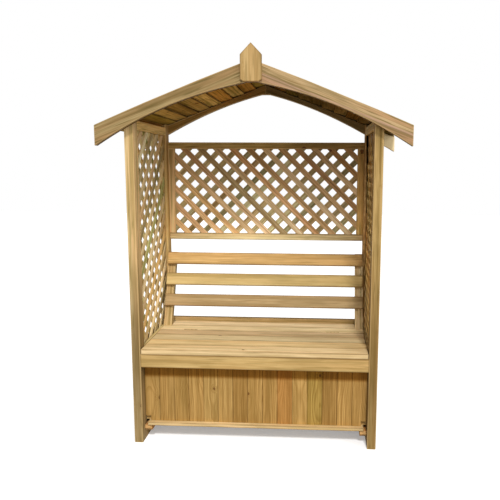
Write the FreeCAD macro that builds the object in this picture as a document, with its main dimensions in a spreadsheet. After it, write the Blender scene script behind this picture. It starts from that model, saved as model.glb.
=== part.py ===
import FreeCAD, Part
import Sketcher
import math
import os

# Arbour seat in planed timber: two trellis side panels, a storage bench with a lifting seat lid,
# a reclined slatted backrest, a trellis back panel and a lapped board roof behind arched fascias.
# Origin at the centre of the footprint on the ground, +X to the sitter's left, +Y to the back, +Z up.

doc = FreeCAD.newDocument("arbour_seat")

# Driving sizes in millimetres and degrees
SIZES = [
    ("inner_width", 1152, "clear width between the side panels"),
    ("side_depth", 660, "depth of a side panel over its two stiles"),
    ("wall_height", 1639.5, "underside of the roof above the outer face of a side panel"),
    ("seat_height", 500, "top of the seat lid"),
    ("arris_radius", 3, "radius on the long edges of the thick timbers"),
    ("fit_gap", 0.3, "clearance between a moving and a fixed piece"),
    ("stile_face", 44, "stile and rail thickness across the side panel"),
    ("stile_depth", 70, "stile width from front to back"),
    ("rail_height", 44, "height of the side rails"),
    ("roof_clearance", 1.5, "gap between a side panel's top rail and the roof"),
    ("panel_thickness", 16, "tongued boards, and the two lath layers together"),
    ("groove_depth", 10, "depth of the panel grooves and of the stub tenons in them"),
    ("board_cover", 77, "nominal cover of one tongued board"),
    ("joint_gap", 0.5, "open joint between tongued boards"),
    ("joint_bevel", 2, "bevel on each edge of a tongued board"),
    ("lath_width", 32, "trellis lath width"),
    ("lath_pitch", 96, "distance between crossings along a row of the trellis"),
    ("side_rising_start", 14.1, "first rising lath of a side panel above its opening's corner"),
    ("side_falling_start", 16.7, "first falling lath of a side panel from its opening's corner"),
    ("back_rising_start", 31.4, "first rising lath of the back panel above its opening's corner"),
    ("back_falling_start", 74.2, "first falling lath of the back panel from its opening's corner"),
    ("back_panel_thickness", 27, "thickness of the back panel's frame"),
    ("back_panel_height", 573, "height of the back panel's frame"),
    ("back_panel_drop", 82.5, "top of the back panel below the height of the walls"),
    ("back_panel_rail", 38, "width of the back panel's rails and stiles"),
    ("seat_board_width", 90, "width of a seat board"),
    ("board_thickness", 27, "thickness of the seat boards, battens and box rails"),
    ("seat_gap", 2, "open joint between seat boards"),
    ("lid_boards", 4, "boards in the lifting lid"),
    ("lid_side_gap", 3, "gap at each end of the lid"),
    ("lid_batten_inset", 126, "centre of an outer lid batten from the side panel"),
    ("lid_batten_setback", 8, "front end of a lid batten behind the apron"),
    ("lid_batten_rear_gap", 21, "rear end of a lid batten in front of the lid's rear edge"),
    ("batten_width", 44, "width of the battens"),
    ("batten_clearance", 6, "gap between the lid battens and the box front"),
    ("apron_height", 68, "height of the seat apron"),
    ("bearer_height", 70, "height of the seat bearers and of the cross rail"),
    ("cross_rail_setback", 6, "cross rail behind the hinged joint's rear board edge"),
    ("hinge_gap", 4, "joint between the lid and the fixed seat boards"),
    ("hinge_length", 75, "length of a butt hinge"),
    ("hinge_spacing", 800, "distance between the hinge centres"),
    ("hinge_leaf", 1.6, "thickness of a hinge leaf"),
    ("hinge_leaf_height", 25, "depth of a hinge leaf below the pin"),
    ("knuckle_radius", 3.4, "outer radius of a hinge knuckle"),
    ("knuckle_gap", 0.5, "end gap between hinge knuckles"),
    ("pin_radius", 1.7, "radius of the hinge pin"),
    ("pin_clearance", 0.05, "running clearance round the hinge pin"),
    ("recline_angle", 20, "lean of the backrest from upright"),
    ("bracket_size", 44, "backrest bracket, square section"),
    ("bracket_foot", 446.4, "front of the bracket's foot behind the front of the seat"),
    ("bracket_rise", 418, "top of the bracket above the seat"),
    ("back_slat_width", 70, "width of a backrest slat"),
    ("back_slat_thickness", 20, "thickness of a backrest slat"),
    ("back_slat_gap", 2, "gap at each end of a backrest slat"),
    ("first_back_slat", 150, "centre of the lowest backrest slat along the bracket"),
    ("back_slat_pitch", 124, "distance between backrest slats along the bracket"),
    ("box_front_setback", 58, "face of the box front behind the face of the stiles"),
    ("floor_level", 96, "top of the box floor"),
    ("floor_thickness", 18, "thickness of the floor boards"),
    ("floor_end_gap", 16, "gap at each end of a floor board"),
    ("floor_front", 35, "front edge of the floor behind the face of the stiles"),
    ("floor_front_width", 88, "width of the front floor board"),
    ("floor_board_cover", 92, "nominal spacing of the other floor boards"),
    ("floor_gap", 4, "open joint between floor boards"),
    ("floor_bearer_width", 35, "width of a floor bearer"),
    ("floor_bearer_height", 33, "height of a floor bearer"),
    ("floor_bearer_inset", 40, "ends of a floor bearer behind the stile faces"),
    ("floor_bearer_bevel", 15, "bevel at the front lower corner of a floor bearer"),
    ("notch_width", 28, "notch in the box front's end boards"),
    ("notch_height", 26, "height of that notch"),
    ("rear_rail_height", 70, "height of the rail behind the seat"),
    ("rear_rail_rise", 25, "rise of that rail above the seat"),
    ("back_boards_drop", 5, "top of the box back below that rail's top"),
    ("roof_span", 1500, "width over the arched boards"),
    ("roof_pitch", 21.6, "slope of the roof in degrees"),
    ("arch_thickness", 20, "thickness of the arched boards and the fascias"),
    ("finial_thickness", 18, "thickness of the finial"),
    ("arch_flat", 48, "straight run at the middle of the arch"),
    ("arch_depth_centre", 79, "depth of an arched board at the middle of the roof"),
    ("arch_depth_end", 81, "depth of an arched board at its outer end"),
    ("arch_rise", 28.5, "rise of the arched lower edge over its chord"),
    ("fascia_stand", 21, "top of the fascia above the roof boards' seat"),
    ("fascia_crown", 6, "rise of the fascia's top edge over its chord"),
    ("roof_slat_width", 85, "width of a roof board"),
    ("roof_slat_thickness", 9, "thickness of a roof board"),
    ("roof_slat_cover", 73.3, "nominal exposure of a roof board"),
    ("roof_slat_setback", 8, "eaves of the roof boards inside the ends of the fascias"),
    ("lap_gap", 0.1, "play between lapped roof boards"),
    ("finial_width", 100, "width of the finial"),
    ("finial_drop", 81, "foot of the finial below the roof's apex"),
    ("finial_rise", 91, "point of the finial above the roof's apex"),
    ("finial_point", 52, "height of the finial's pointed part"),
    ("finial_foot_width", 14, "width of the cut at the finial's lower corners"),
    ("finial_foot_height", 9, "height of the cut at the finial's lower corners"),
]

dims = doc.addObject("Spreadsheet::Sheet", "dims")
for row, (alias, size, meaning) in enumerate(SIZES, start=1):
    dims.set(f"A{row}", alias)
    dims.set(f"B{row}", str(size))
    dims.set(f"C{row}", meaning)
    dims.setAlias(f"B{row}", alias)
doc.recompute()

# Places shared by several pieces, worked out from the sizes
# Roof boards of one thickness stand before and behind the side panels, so only the finial shifts the middle.
origin_y = "((dims.side_depth - dims.finial_thickness) / 2)"
front = f"(-{origin_y})"
rear = f"({front} + dims.side_depth)"
front_stile_back = f"({front} + dims.stile_depth)"
rear_stile_front = f"({rear} - dims.stile_depth)"
inner_x = "(dims.inner_width / 2)"
outer_x = f"({inner_x} + dims.stile_face)"
panel_inner_x = f"({inner_x} + (dims.stile_face - dims.panel_thickness) / 2)"
panel_middle_x = f"({panel_inner_x} + dims.panel_thickness / 2)"
panel_outer_x = f"({panel_inner_x} + dims.panel_thickness)"

seat_top = "dims.seat_height"
seat_under = "(dims.seat_height - dims.board_thickness)"
bearer_top = f"({seat_under} - dims.fit_gap)"
fixed_seat_top = "(dims.seat_height - dims.fit_gap)"
hinge_y = f"({front} + dims.lid_boards * (dims.seat_board_width + dims.seat_gap) - dims.seat_gap"
hinge_y += " + dims.hinge_gap / 2)"
fixed_seat_front = f"({hinge_y} + dims.hinge_gap / 2)"
rear_rail_front = f"({fixed_seat_front} + 2 * (dims.seat_board_width + dims.seat_gap))"
box_back = f"({rear_rail_front} + dims.board_thickness)"
box_front = f"({front} + dims.box_front_setback)"
box_inside = f"({box_front} + dims.panel_thickness)"
box_front_top = f"({seat_under} - dims.board_thickness - dims.batten_clearance)"
floor_under = "(dims.floor_level - dims.floor_thickness)"
cleat_x = f"({inner_x} - dims.board_thickness)"

slope = "tan(dims.roof_pitch * 1deg)"
half_span = "(dims.roof_span / 2)"
apex = f"(dims.wall_height + {outer_x} * {slope})"


def roof_line(x):
    """Height of the roof boards' seat at a distance from the middle of the roof."""
    return f"({apex} - ({x}) * {slope})"


top_rail_top = f"({roof_line(outer_x)} - dims.roof_clearance)"
top_rail_under = f"({top_rail_top} - dims.rail_height)"
mid_rail_under = f"({seat_top} - dims.rail_height)"
back_panel_top = "(dims.wall_height - dims.back_panel_drop)"
back_panel_foot = f"({back_panel_top} - dims.back_panel_height)"
back_panel_front = f"({rear} - dims.back_panel_thickness)"


# Helpers that turn expressions into bound geometry
def value(expression):
    """The present value of an expression of the sheet's sizes."""
    return float(dims.evalExpression(str(expression)))


def span(limits):
    return f"({limits[1]}) - ({limits[0]})"


def bind(target, field, expression):
    target.setExpression(field, str(expression))


def bind_base(target, place):
    for axis, expression in zip("xyz", place):
        bind(target, f"Placement.Base.{axis}", expression)


def bind_box(box, x, y, z):
    """Ties a box to three pairs of places, low then high."""
    bind(box, "Length", span(x))
    bind(box, "Width", span(y))
    bind(box, "Height", span(z))
    bind_base(box, (x[0], y[0], z[0]))
    return box


def plain_box(name, x, y, z):
    return bind_box(doc.addObject("Part::Box", name), x, y, z)


def new_body(name):
    return doc.addObject("PartDesign::Body", name)


def add_box(body, name, x, y, z):
    return bind_box(body.newObject("PartDesign::AdditiveBox", name), x, y, z)


def cut_box(body, name, x, y, z):
    return bind_box(body.newObject("PartDesign::SubtractiveBox", name), x, y, z)


def round_bar(body, kind, name, x, y, z, radius):
    """A cylinder along X in a body, added or subtracted by its kind."""
    bar = body.newObject(kind, name)
    bind(bar, "Height", span(x))
    bind(bar, "Radius", radius)
    bar.Placement.Rotation = FreeCAD.Rotation(FreeCAD.Vector(0, 1, 0), 90)
    bind_base(bar, (x[0], y, z))
    return bar


def long_edges(shape, direction):
    """Names of a shape's straight edges that run along a direction."""
    names = []
    for index, edge in enumerate(shape.Edges, start=1):
        tangent = edge.tangentAt(edge.FirstParameter)
        if abs(tangent.dot(direction)) > 0.999:
            names.append(f"Edge{index}")
    return names


def ease(body, base, direction, size, kind="Fillet"):
    """Rounds or bevels the edges of a body's blank that run along its grain."""
    doc.recompute()
    eased = body.newObject(f"PartDesign::{kind}", f"{body.Name}_{kind.lower()}")
    eased.Base = (base, long_edges(base.Shape, direction))
    bind(eased, "Radius" if kind == "Fillet" else "Size", size)
    return eased


ALONG_X = FreeCAD.Vector(1, 0, 0)
ALONG_Y = FreeCAD.Vector(0, 1, 0)
ALONG_Z = FreeCAD.Vector(0, 0, 1)


def timber(name, grain, x, y, z):
    """A planed timber with its long edges rounded."""
    body = new_body(name)
    blank = add_box(body, f"{name}_blank", x, y, z)
    ease(body, blank, grain, "dims.arris_radius")
    return body


def origin_feature(body, role):
    return [item for item in body.Origin.OriginFeatures if item.Role == role][0]


def outline(body, name, role, corners, rises=None):
    """A closed outline on one of the body's planes; a rise bows an edge to its left, or right if negative.

    An arc in a sketch runs anticlockwise, so one that bows to the left starts at the edge's far end."""
    rises = rises or {}
    sketch = body.newObject("Sketcher::SketchObject", name)
    sketch.AttachmentSupport = (origin_feature(body, role), [""])
    sketch.MapMode = "FlatFace"
    points = [FreeCAD.Vector(value(u), value(v), 0) for u, v in corners]
    starts = []
    for index, start in enumerate(points):
        end = points[(index + 1) % len(points)]
        starts.append(1)
        if index not in rises:
            sketch.addGeometry(Part.LineSegment(start, end), False)
            continue
        left = FreeCAD.Vector(start.y - end.y, end.x - start.x, 0).normalize()
        middle = (start + end) / 2 + left * value(rises[index])
        if value(rises[index]) > 0:
            sketch.addGeometry(Part.Arc(end, middle, start), False)
            starts[index] = 2
        else:
            sketch.addGeometry(Part.Arc(start, middle, end), False)
    for index, (u, v) in enumerate(corners):
        follower = (index + 1) % len(corners)
        joint = ("Coincident", index, 3 - starts[index], follower, starts[follower])
        sketch.addConstraint(Sketcher.Constraint(*joint))
        place = points[index]
        for kind, expression, distance in (("DistanceX", u, place.x), ("DistanceY", v, place.y)):
            number = sketch.addConstraint(Sketcher.Constraint(kind, index, starts[index], distance))
            sketch.setExpression(f"Constraints[{number}]", str(expression))
    for index, rise in rises.items():
        (u1, v1), (u2, v2) = corners[index], corners[(index + 1) % len(corners)]
        chord = f"((({u2}) - ({u1}))^2 + (({v2}) - ({v1}))^2)"
        radius = f"abs({chord} / (8 * {rise}) + {rise} / 2)"
        number = sketch.addConstraint(Sketcher.Constraint("Radius", index, value(radius)))
        sketch.setExpression(f"Constraints[{number}]", radius)
    return sketch


def padded(name, role, corners, limits, rises=None):
    """A body padded from an outline, between two places along the outline's normal."""
    body = new_body(name)
    sketch = outline(body, f"{name}_outline", role, corners, rises)
    backwards = role == "XZ_Plane"
    bind(sketch, "AttachmentOffset.Base.z", f"-({limits[0]})" if backwards else limits[0])
    pad = body.newObject("PartDesign::Pad", f"{name}_pad")
    pad.Profile = sketch
    pad.Reversed = backwards
    bind(pad, "Length", span(limits))
    return body


def row_of_boards(name, grain, x, y, z, axis, pitch, count):
    """Equal boards side by side, each bevelled along its grain; x, y and z place the first."""
    body = new_body(name)
    board = add_box(body, f"{name}_board", x, y, z)
    bevel = ease(body, board, grain, "dims.joint_bevel", "Chamfer")
    row = body.newObject("PartDesign::LinearPattern", f"{name}_row")
    row.Originals = [board, bevel]
    row.Direction = (origin_feature(body, axis), [""])
    row.Mode = "Spacing"
    bind(row, "Offset", pitch)
    bind(row, "Occurrences", count)
    body.Tip = row
    return body


def group(name, pieces):
    together = doc.addObject("Part::Compound", name)
    together.Links = pieces
    return together


nodes = []


def node(label, piece):
    """Gives a piece the name that its file takes."""
    piece.Label = label
    nodes.append(piece)
    return piece


def node_pair(label, right_piece):
    """A right-hand piece and its mirror image on the left."""
    node(f"right_{label}", right_piece)
    left_piece = doc.addObject("Part::Mirroring", f"left_{label}")
    left_piece.Source = right_piece
    left_piece.Normal = ALONG_X
    node(f"left_{label}", left_piece)


# Trellis
def lath_layer(name, plane, u, v, depth, start, rising):
    """One layer of parallel diagonal laths, trimmed to the grooves round an opening.

    u and v are the opening's limits across and up, depth the layer's limits through the panel."""
    width, height = value(span(u)), value(span(v))
    stock = f"(2 * max({span(u)}; {span(v)}))"
    first, last = (-width, height) if rising else (0, width + height)
    lath_range = range(
        math.ceil((first - value(start)) / value("dims.lath_pitch")),
        math.ceil((last - value(start)) / value("dims.lath_pitch")),
    )
    laths = []
    for count, index in enumerate(lath_range, start=1):
        lath = doc.addObject("Part::Box", f"{name}_{count}")
        crossing = f"({start} + {index} * dims.lath_pitch)"
        if rising:
            shift = f"({crossing} + ({span(u)}) / 2 - ({span(v)}) / 2) / 2"
            middle_u = f"(({u[0]}) + ({span(u)}) / 2 - {shift})"
        else:
            shift = f"({crossing} - ({span(u)}) / 2 - ({span(v)}) / 2) / 2"
            middle_u = f"(({u[0]}) + ({span(u)}) / 2 + {shift})"
        middle_v = f"(({v[0]}) + ({span(v)}) / 2 + {shift})"
        across = "+" if rising else "-"
        climb = "-" if rising else "+"
        base_u = f"{middle_u} - {stock} / 2 * cos(45deg) {across} dims.lath_width / 2 * cos(45deg)"
        base_v = f"{middle_v} {climb} {stock} / 2 * cos(45deg) - dims.lath_width / 2 * cos(45deg)"
        bind(lath, "Height", "dims.lath_width")
        if plane == "YZ":
            bind(lath, "Length", span(depth))
            bind(lath, "Width", stock)
            bind_base(lath, (depth[0], base_u, base_v))
            lath.Placement.Rotation = FreeCAD.Rotation(ALONG_X, 45 if rising else -45)
        else:
            bind(lath, "Length", stock)
            bind(lath, "Width", span(depth))
            bind_base(lath, (base_u, depth[0], base_v))
            lath.Placement.Rotation = FreeCAD.Rotation(ALONG_Y, -45 if rising else 45)
        laths.append(lath)
    held_u = (f"{u[0]} - dims.groove_depth", f"{u[1]} + dims.groove_depth")
    held_v = (f"{v[0]} - dims.groove_depth", f"{v[1]} + dims.groove_depth")
    if plane == "YZ":
        opening = plain_box(f"{name}_opening", depth, held_u, held_v)
    else:
        opening = plain_box(f"{name}_opening", held_u, depth, held_v)
    layer = doc.addObject("Part::Common", name)
    layer.Base = group(f"{name}_uncut", laths)
    layer.Tool = opening
    return layer


# Side panels
def stile(name, y, groove_y):
    """An upright with its top cut to the roof slope and a groove for the panels."""
    corners = [
        (inner_x, "0"),
        (outer_x, "0"),
        (outer_x, roof_line(outer_x)),
        (inner_x, roof_line(inner_x)),
    ]
    body = padded(name, "XZ_Plane", corners, y)
    doc.recompute()
    ease(body, body.Tip, ALONG_Z, "dims.arris_radius")
    cut_box(body, f"{name}_groove", (panel_inner_x, panel_outer_x), groove_y, ("0", top_rail_top))
    return body


def side_rail(name, z, grooved_below, grooved_above):
    """A rail between the stiles, with stub tenons in their grooves."""
    body = timber(name, ALONG_Y, (inner_x, outer_x), (front_stile_back, rear_stile_front), z)
    tenon_y = (f"{front_stile_back} - dims.groove_depth", f"{rear_stile_front} + dims.groove_depth")
    tenon_x = (panel_inner_x, panel_outer_x)
    add_box(body, f"{name}_tenon", tenon_x, tenon_y, z)
    if grooved_below:
        cut_box(body, f"{name}_lower_groove", tenon_x, tenon_y, (z[0], f"{z[0]} + dims.groove_depth"))
    if grooved_above:
        cut_box(body, f"{name}_upper_groove", tenon_x, tenon_y, (f"{z[1]} - dims.groove_depth", z[1]))
    return body


def side_panels():
    front_groove = (f"{front_stile_back} - dims.groove_depth", front_stile_back)
    rear_groove = (rear_stile_front, f"{rear_stile_front} + dims.groove_depth")
    node_pair("front_stile", stile("front_stile", (front, front_stile_back), front_groove))
    node_pair("rear_stile", stile("rear_stile", (rear_stile_front, rear), rear_groove))
    node_pair("top_rail", side_rail("top_rail", (top_rail_under, top_rail_top), True, False))
    node_pair("mid_rail", side_rail("mid_rail", (mid_rail_under, seat_top), True, True))
    node_pair("bottom_rail", side_rail("bottom_rail", ("0", "dims.rail_height"), False, True))

    opening_y = (front_stile_back, rear_stile_front)
    opening_z = (seat_top, top_rail_under)
    inner_layer = (panel_inner_x, panel_middle_x)
    outer_layer = (panel_middle_x, panel_outer_x)
    rising = ("dims.side_rising_start", True)
    falling = ("dims.side_falling_start", False)
    node_pair("inner_laths", lath_layer("inner_laths", "YZ", opening_y, opening_z, inner_layer, *rising))
    node_pair("outer_laths", lath_layer("outer_laths", "YZ", opening_y, opening_z, outer_layer, *falling))

    first_y = f"({front_stile_back} - dims.groove_depth)"
    panel_length = f"({rear_stile_front} - {front_stile_back} + 2 * dims.groove_depth)"
    board_count = f"round({panel_length} / dims.board_cover)"
    pitch = f"({panel_length} / {board_count})"
    boards = row_of_boards(
        "side_boards",
        ALONG_Z,
        (panel_inner_x, panel_outer_x),
        (first_y, f"{first_y} + {pitch} - dims.joint_gap"),
        ("dims.rail_height - dims.groove_depth", f"{mid_rail_under} + dims.groove_depth"),
        "Y_Axis",
        pitch,
        board_count,
    )
    node_pair("side_boards", boards)


# Trellis back panel
def back_panel():
    frame_y = (back_panel_front, rear)
    groove_front = f"({back_panel_front} + (dims.back_panel_thickness - dims.panel_thickness) / 2)"
    groove_middle = f"({groove_front} + dims.panel_thickness / 2)"
    groove_rear = f"({groove_front} + dims.panel_thickness)"
    groove_y = (groove_front, groove_rear)
    stile_x = f"({inner_x} - dims.back_panel_rail)"
    low = f"({back_panel_foot} + dims.back_panel_rail)"
    high = f"({back_panel_top} - dims.back_panel_rail)"
    tenon_x = (f"-{stile_x} - dims.groove_depth", f"{stile_x} + dims.groove_depth")

    upright = timber("back_stile", ALONG_Z, (stile_x, inner_x), frame_y, (back_panel_foot, back_panel_top))
    groove_x = (stile_x, f"{stile_x} + dims.groove_depth")
    cut_box(upright, "back_stile_groove", groove_x, groove_y, (back_panel_foot, back_panel_top))
    node_pair("back_stile", upright)
    rails = {
        "back_top_rail": ((high, back_panel_top), (high, f"{high} + dims.groove_depth")),
        "back_bottom_rail": ((back_panel_foot, low), (f"{low} - dims.groove_depth", low)),
    }
    for name, (rail_z, groove_z) in rails.items():
        rail = timber(name, ALONG_X, (f"-{stile_x}", stile_x), frame_y, rail_z)
        add_box(rail, f"{name}_tenon", tenon_x, groove_y, rail_z)
        cut_box(rail, f"{name}_groove", tenon_x, groove_y, groove_z)
        node(name, rail)

    opening_x = (f"-{stile_x}", stile_x)
    opening_z = (low, high)
    front_layer = (groove_front, groove_middle)
    rear_layer = (groove_middle, groove_rear)
    falling = ("dims.back_falling_start", False)
    rising = ("dims.back_rising_start", True)
    for name, layer, start in (
        ("back_front_laths", front_layer, falling),
        ("back_rear_laths", rear_layer, rising),
    ):
        node(name, lath_layer(name, "XZ", opening_x, opening_z, layer, *start))


# Backrest
def backrest():
    lean = "dims.recline_angle * 1deg"
    foot_y = f"({front} + dims.bracket_foot)"
    depth = f"dims.bracket_size / cos({lean})"
    top_y = f"({foot_y} + (dims.bracket_rise + dims.fit_gap) * tan({lean}))"
    top_z = f"({seat_top} + dims.bracket_rise)"
    corners = [
        (foot_y, fixed_seat_top),
        (f"{foot_y} + {depth}", fixed_seat_top),
        (f"{top_y} + {depth}", top_z),
        (top_y, top_z),
    ]
    bracket = padded("bracket", "YZ_Plane", corners, (f"{inner_x} - dims.bracket_size", inner_x))
    node_pair("backrest_bracket", bracket)
    slat_x = f"({inner_x} - dims.back_slat_gap)"
    for index, place in enumerate(("lower", "middle", "upper")):
        body = new_body(f"{place}_back_slat")
        slat = body.newObject("PartDesign::AdditiveBox", f"{place}_back_slat_blank")
        foot = f"(dims.first_back_slat + {index} * dims.back_slat_pitch - dims.back_slat_width / 2)"
        bind(slat, "Length", f"2 * {slat_x}")
        bind(slat, "Width", "dims.back_slat_thickness")
        bind(slat, "Height", "dims.back_slat_width")
        slat.Placement.Rotation = FreeCAD.Rotation(-ALONG_X, 1)
        bind(slat, "Placement.Rotation.Angle", "dims.recline_angle")
        slat_y = f"{foot_y} + {foot} * sin({lean}) - dims.back_slat_thickness * cos({lean})"
        slat_z = f"{fixed_seat_top} + {foot} * cos({lean}) + dims.back_slat_thickness * sin({lean})"
        bind_base(slat, (f"-{slat_x}", slat_y, slat_z))
        ease(body, slat, ALONG_X, "dims.arris_radius")
        node(f"backrest_{place}_slat", body)


# Seat
def seat():
    lid_x = f"({inner_x} - dims.lid_side_gap)"
    knuckle_cut = "dims.knuckle_radius + dims.fit_gap"
    board_pitch = "(dims.seat_board_width + dims.seat_gap)"
    lid_board_count = round(value("dims.lid_boards"))
    for index in range(lid_board_count):
        name = f"lid_board_{index + 1}"
        board_front = f"({front} + {index} * {board_pitch})"
        board_y = (board_front, f"{board_front} + dims.seat_board_width")
        board = timber(name, ALONG_X, (f"-{lid_x}", lid_x), board_y, (seat_under, seat_top))
        if index == lid_board_count - 1:
            cut_for_knuckles(board, knuckle_cut)
        node(name, board)

    batten_y = (
        f"{front} + dims.board_thickness + dims.lid_batten_setback",
        f"{hinge_y} - dims.hinge_gap / 2 - dims.lid_batten_rear_gap",
    )
    batten_z = (f"{seat_under} - dims.board_thickness", seat_under)
    battens = []
    for index, sign in enumerate(("-", "0 *", "")):
        middle = f"({sign} ({inner_x} - dims.lid_batten_inset))"
        batten_x = (f"{middle} - dims.batten_width / 2", f"{middle} + dims.batten_width / 2")
        battens.append(timber(f"lid_batten_{index + 1}", ALONG_Y, batten_x, batten_y, batten_z))
    node("lid_battens", group("lid_battens", battens))

    for index, place in enumerate(("front", "rear")):
        board_front = f"({fixed_seat_front} + {index} * {board_pitch})"
        board_y = (board_front, f"{board_front} + dims.seat_board_width")
        fixed_x = (f"-{inner_x}", inner_x)
        board = timber(f"fixed_board_{index + 1}", ALONG_X, fixed_x, board_y, (bearer_top, fixed_seat_top))
        if place == "front":
            cut_for_knuckles(board, knuckle_cut)
        node(f"seat_fixed_{place}_board", board)

    apron_y = (front, f"{front} + dims.board_thickness")
    apron_z = (f"{bearer_top} - dims.apron_height", bearer_top)
    node("seat_apron", timber("seat_apron", ALONG_X, (f"-{inner_x}", inner_x), apron_y, apron_z))
    bearer_z = (f"{bearer_top} - dims.bearer_height", bearer_top)
    bearer = plain_box("seat_bearer", (cleat_x, inner_x), (box_inside, rear_rail_front), bearer_z)
    node_pair("seat_bearer", bearer)
    rail_front = f"({fixed_seat_front} + dims.cross_rail_setback)"
    rail_y = (rail_front, f"{rail_front} + dims.board_thickness")
    node("seat_cross_rail", plain_box("seat_cross_rail", (f"-{cleat_x}", cleat_x), rail_y, bearer_z))


def hinge_limits(sign):
    """Limits of one hinge along X."""
    middle = f"({sign} dims.hinge_spacing / 2)"
    return f"({middle} - dims.hinge_length / 2)", f"({middle} + dims.hinge_length / 2)"


def cut_for_knuckles(board, radius):
    """Hollows in a board's upper edge that clear the two hinges' knuckles."""
    for index, sign in enumerate(("-", "+")):
        low, high = hinge_limits(sign)
        cut_x = (f"{low} - dims.fit_gap", f"{high} + dims.fit_gap")
        name = f"{board.Name}_hollow_{index + 1}"
        round_bar(board, "PartDesign::SubtractiveCylinder", name, cut_x, hinge_y, seat_top, radius)


# Hinges
def hinge_leaf(name, sign, knuckles, plate_y):
    """A flat leaf below the pin with the knuckles that carry it, bored for the pin."""
    low, high = hinge_limits(sign)
    body = new_body(name)
    plate_top = f"{seat_top} - dims.knuckle_radius - dims.fit_gap"
    plate_z = (f"{seat_top} - dims.hinge_leaf_height", plate_top)
    add_box(body, f"{name}_plate", (low, high), plate_y, plate_z)
    for index, (start, end) in enumerate(knuckles):
        knuckle_x = (f"{low} + {start}", f"{low} + {end}")
        neck_z = (plate_top, seat_top)
        add_box(body, f"{name}_neck_{index + 1}", knuckle_x, plate_y, neck_z)
        knuckle = f"{name}_knuckle_{index + 1}"
        radius = "dims.knuckle_radius"
        round_bar(body, "PartDesign::AdditiveCylinder", knuckle, knuckle_x, hinge_y, seat_top, radius)
    bore_radius = "dims.pin_radius + dims.pin_clearance"
    bore = f"{name}_bore"
    round_bar(body, "PartDesign::SubtractiveCylinder", bore, (low, high), hinge_y, seat_top, bore_radius)
    return body


def hinges():
    quarter = "dims.hinge_length / 4"
    outer_knuckles = [
        ("0", f"{quarter} - dims.knuckle_gap / 2"),
        (f"3 * {quarter} + dims.knuckle_gap / 2", "dims.hinge_length"),
    ]
    centre_knuckle = [(f"{quarter} + dims.knuckle_gap / 2", f"3 * {quarter} - dims.knuckle_gap / 2")]
    lid_edge = f"{hinge_y} - dims.hinge_gap / 2"
    lid_plate = (lid_edge, f"{lid_edge} + dims.hinge_leaf")
    frame_edge = f"{hinge_y} + dims.hinge_gap / 2"
    frame_plate = (f"{frame_edge} - dims.hinge_leaf", frame_edge)
    leaves = {"frame": [], "lid": []}
    pins = []
    for side, sign in (("left", "-"), ("right", "+")):
        leaves["frame"].append(hinge_leaf(f"{side}_frame_leaf", sign, outer_knuckles, frame_plate))
        leaves["lid"].append(hinge_leaf(f"{side}_lid_leaf", sign, centre_knuckle, lid_plate))
        pin = new_body(f"{side}_pin")
        limits = hinge_limits(sign)
        name = f"{side}_pin_bar"
        round_bar(pin, "PartDesign::AdditiveCylinder", name, limits, hinge_y, seat_top, "dims.pin_radius")
        pins.append(pin)
    node("hinge_frame_leaves", group("hinge_frame_leaves", leaves["frame"]))
    node("hinge_lid_leaves", group("hinge_lid_leaves", leaves["lid"]))
    node("hinge_pins", group("hinge_pins", pins))


# Storage box
def storage_box():
    board_count = "round(dims.inner_width / dims.board_cover)"
    pitch = f"(dims.inner_width / {board_count})"
    first_x = (f"-{inner_x} + dims.joint_gap / 2", f"-{inner_x} + {pitch} - dims.joint_gap / 2")
    along_x = ("X_Axis", pitch, board_count)
    front_y = (box_front, box_inside)
    front_z = ("dims.floor_level", box_front_top)
    boards = row_of_boards("box_front_boards", ALONG_Z, first_x, front_y, front_z, *along_x)
    notch_z = ("dims.floor_level", "dims.floor_level + dims.notch_height")
    cut_box(boards, "left_notch", (f"-{inner_x}", f"-{inner_x} + dims.notch_width"), front_y, notch_z)
    cut_box(boards, "right_notch", (f"{inner_x} - dims.notch_width", inner_x), front_y, notch_z)
    node("box_front_boards", boards)

    back_y = (box_back, f"{box_back} + dims.panel_thickness")
    rail_top = f"{seat_top} + dims.rear_rail_rise"
    back_z = (floor_under, f"{rail_top} - dims.back_boards_drop")
    boards = row_of_boards("box_back_boards", ALONG_Z, first_x, back_y, back_z, *along_x)
    node("box_back_boards", boards)
    rail_y = (rear_rail_front, box_back)
    rail_z = (f"{rail_top} - dims.rear_rail_height", rail_top)
    rail = timber("box_back_top_rail", ALONG_X, (f"-{inner_x}", inner_x), rail_y, rail_z)
    node("box_back_top_rail", rail)

    batten_y = (box_inside, f"{box_inside} + dims.board_thickness")
    low_z = ("dims.floor_level", "dims.floor_level + dims.batten_width")
    high_z = (f"{box_front_top} - dims.batten_width", box_front_top)
    battens = [
        plain_box("upper_front_batten", (f"-{cleat_x}", cleat_x), batten_y, high_z),
        plain_box("lower_front_batten", (f"-{inner_x}", inner_x), batten_y, low_z),
        plain_box("lower_back_batten", (f"-{inner_x}", inner_x), rail_y, low_z),
    ]
    node("box_battens", group("box_battens", battens))


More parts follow.
